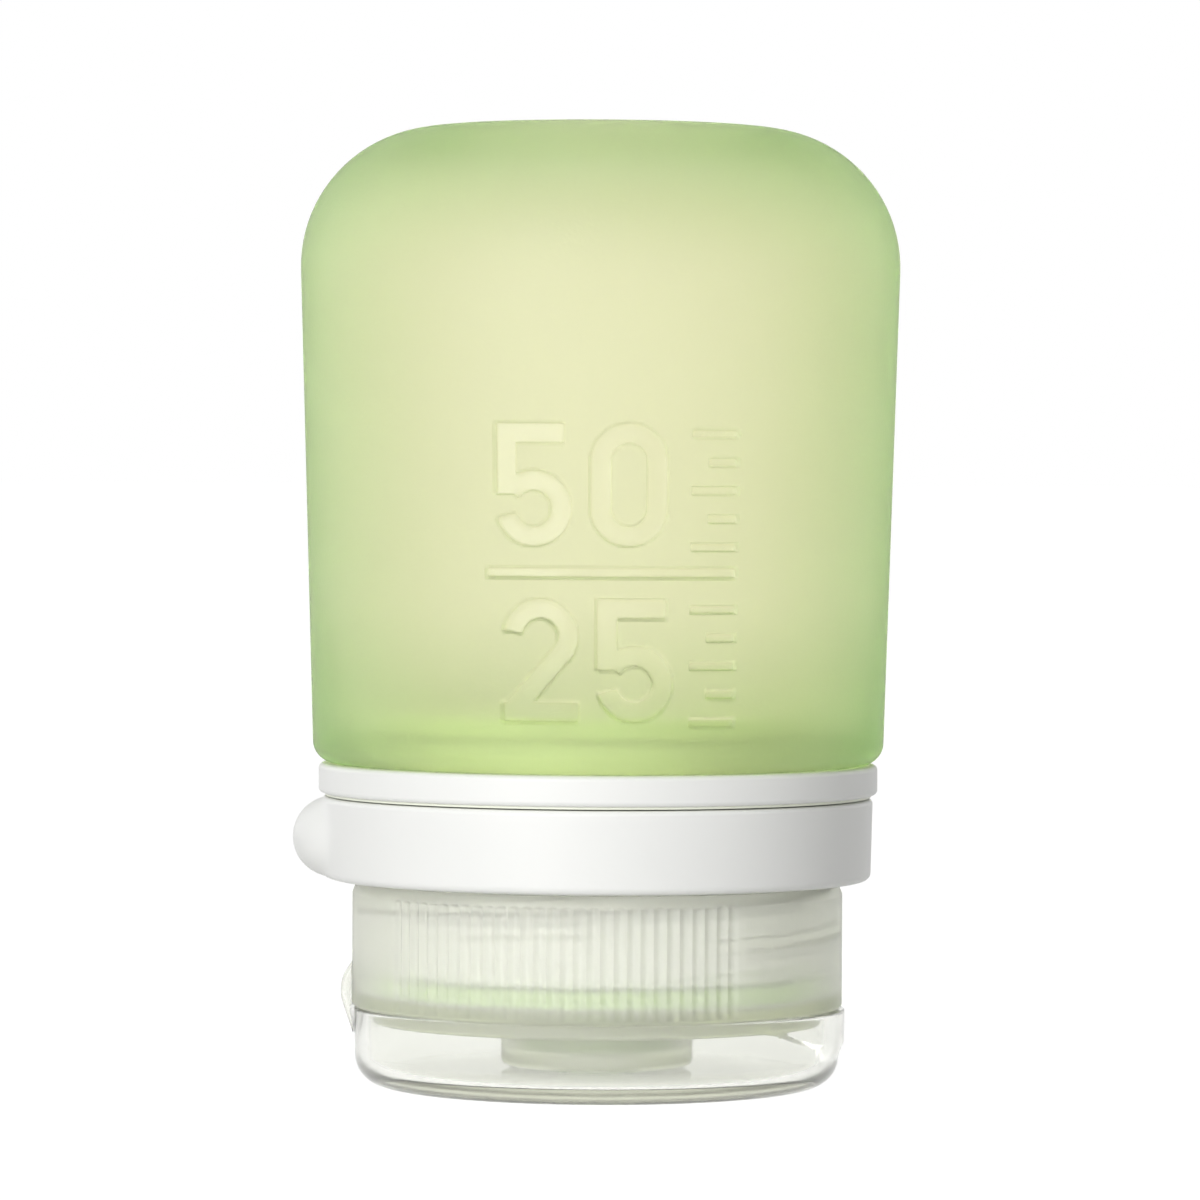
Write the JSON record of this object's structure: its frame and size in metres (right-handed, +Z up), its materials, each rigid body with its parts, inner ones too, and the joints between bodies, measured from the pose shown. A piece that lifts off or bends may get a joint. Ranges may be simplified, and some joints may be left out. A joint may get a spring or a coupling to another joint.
{
  "type": "travel squeeze bottle",
  "caption": "Round translucent silicone squeeze bottle with a clamp collar, a loose ring with a thumb lug, and a ribbed screw cap with a flip lid, standing on the lid.",
  "frame": {"origin": "centre of the lid's flat face, where the bottle stands on its cap", "axes": "+Z up along the bottle's axis, -X towards the thumb lug, -Y towards the moulded numerals"},
  "size_m": [0.0467, 0.0462, 0.0738],
  "materials": {
    "green_silicone": "matte translucent",
    "seal_silicone": "matte",
    "white_plastic": "satin",
    "frosted_plastic": "frosted translucent",
    "clear_plastic": "clear gloss"
  },
  "bodies": {
    "bottle": {"squeeze_body": "green_silicone", "neck_insert": "frosted_plastic", "clamp_collar": "white_plastic", "slip_washer": "seal_silicone"},
    "ring": {"swivel_ring": "white_plastic"},
    "seal": {"seal_ring": "seal_silicone"},
    "cap": {"cap_base": "frosted_plastic", "drip_valve": "seal_silicone", "valve_retainer": "frosted_plastic", "hinge_strap": "clear_plastic"},
    "lid": {"flip_lid": "clear_plastic"}
  },
  "joints": [
    {"name": "ring_turn", "type": "hinge", "parent": "bottle", "child": "ring", "pos_m": [0, 0, 0.0191], "axis": [0, 0, 1], "continuous": true},
    {"name": "cap_lift", "type": "slide", "parent": "bottle", "child": "seal", "axis": [0, 0, -1], "range_m": [0, 0.00613]},
    {"name": "cap_turn", "type": "hinge", "parent": "seal", "child": "cap", "pos_m": [0, 0, 0.0107], "axis": [0, 0, -1], "range_deg": [0, 630]},
    {"name": "lid_flip", "type": "hinge", "parent": "cap", "child": "lid", "pos_m": [-0.01911, 0.00337, 0.00605], "axis": [0.1736, 0.9848, 0], "range_deg": [0, 150], "deforming": ["hinge_strap"]}
  ],
  "couplings": [
    {"joint": "cap_lift", "follows": "cap_turn", "m_per_rad": 0.00055704}
  ]
}
